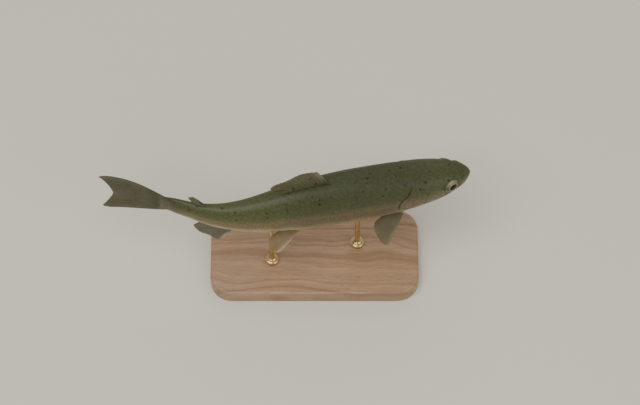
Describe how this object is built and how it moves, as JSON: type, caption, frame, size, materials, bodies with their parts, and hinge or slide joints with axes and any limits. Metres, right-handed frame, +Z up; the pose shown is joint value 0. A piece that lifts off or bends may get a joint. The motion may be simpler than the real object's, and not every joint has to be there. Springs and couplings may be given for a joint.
{
  "type": "rainbow trout",
  "caption": "Life-size rainbow trout in a swimming pose with its tail turned to one side, held over a flat display base by rods.",
  "frame": {"origin": "middle of the display base's underside, on the surface it stands on", "axes": "+Z up, +X along the base towards the snout, +Y to the fish's left"},
  "size_m": [0.2936, 0.0806, 0.1496],
  "materials": {
    "skin": "wet, scaled, olive back over a paler belly, small dark spots and a rose band",
    "fins": "wet, rayed, olive with dark spots on the dorsal, adipose and tail fins",
    "eyes": "polished, silvery gold iris round a black pupil",
    "base_wood": "satin oiled, straight grain",
    "stand_brass": "brushed and lightly aged"
  },
  "bodies": {
    "root": {"head": "skin", "lower_jaw": "skin", "gill_cover_left": "skin", "gill_cover_right": "skin", "shoulder": "skin", "trunk": "skin", "tail_stem": "skin", "eye_left": "eyes", "eye_right": "eyes", "dorsal_fin": "fins", "adipose_fin": "fins", "anal_fin": "fins", "caudal_fin": "fins", "pectoral_fin_left": "fins", "pectoral_fin_right": "fins", "pelvic_fin_left": "fins", "pelvic_fin_right": "fins", "stand_base": "base_wood", "stand_rod_front": "stand_brass", "stand_rod_rear": "stand_brass", "stand_collar_front": "stand_brass", "stand_collar_rear": "stand_brass"}
  },
  "joints": []
}
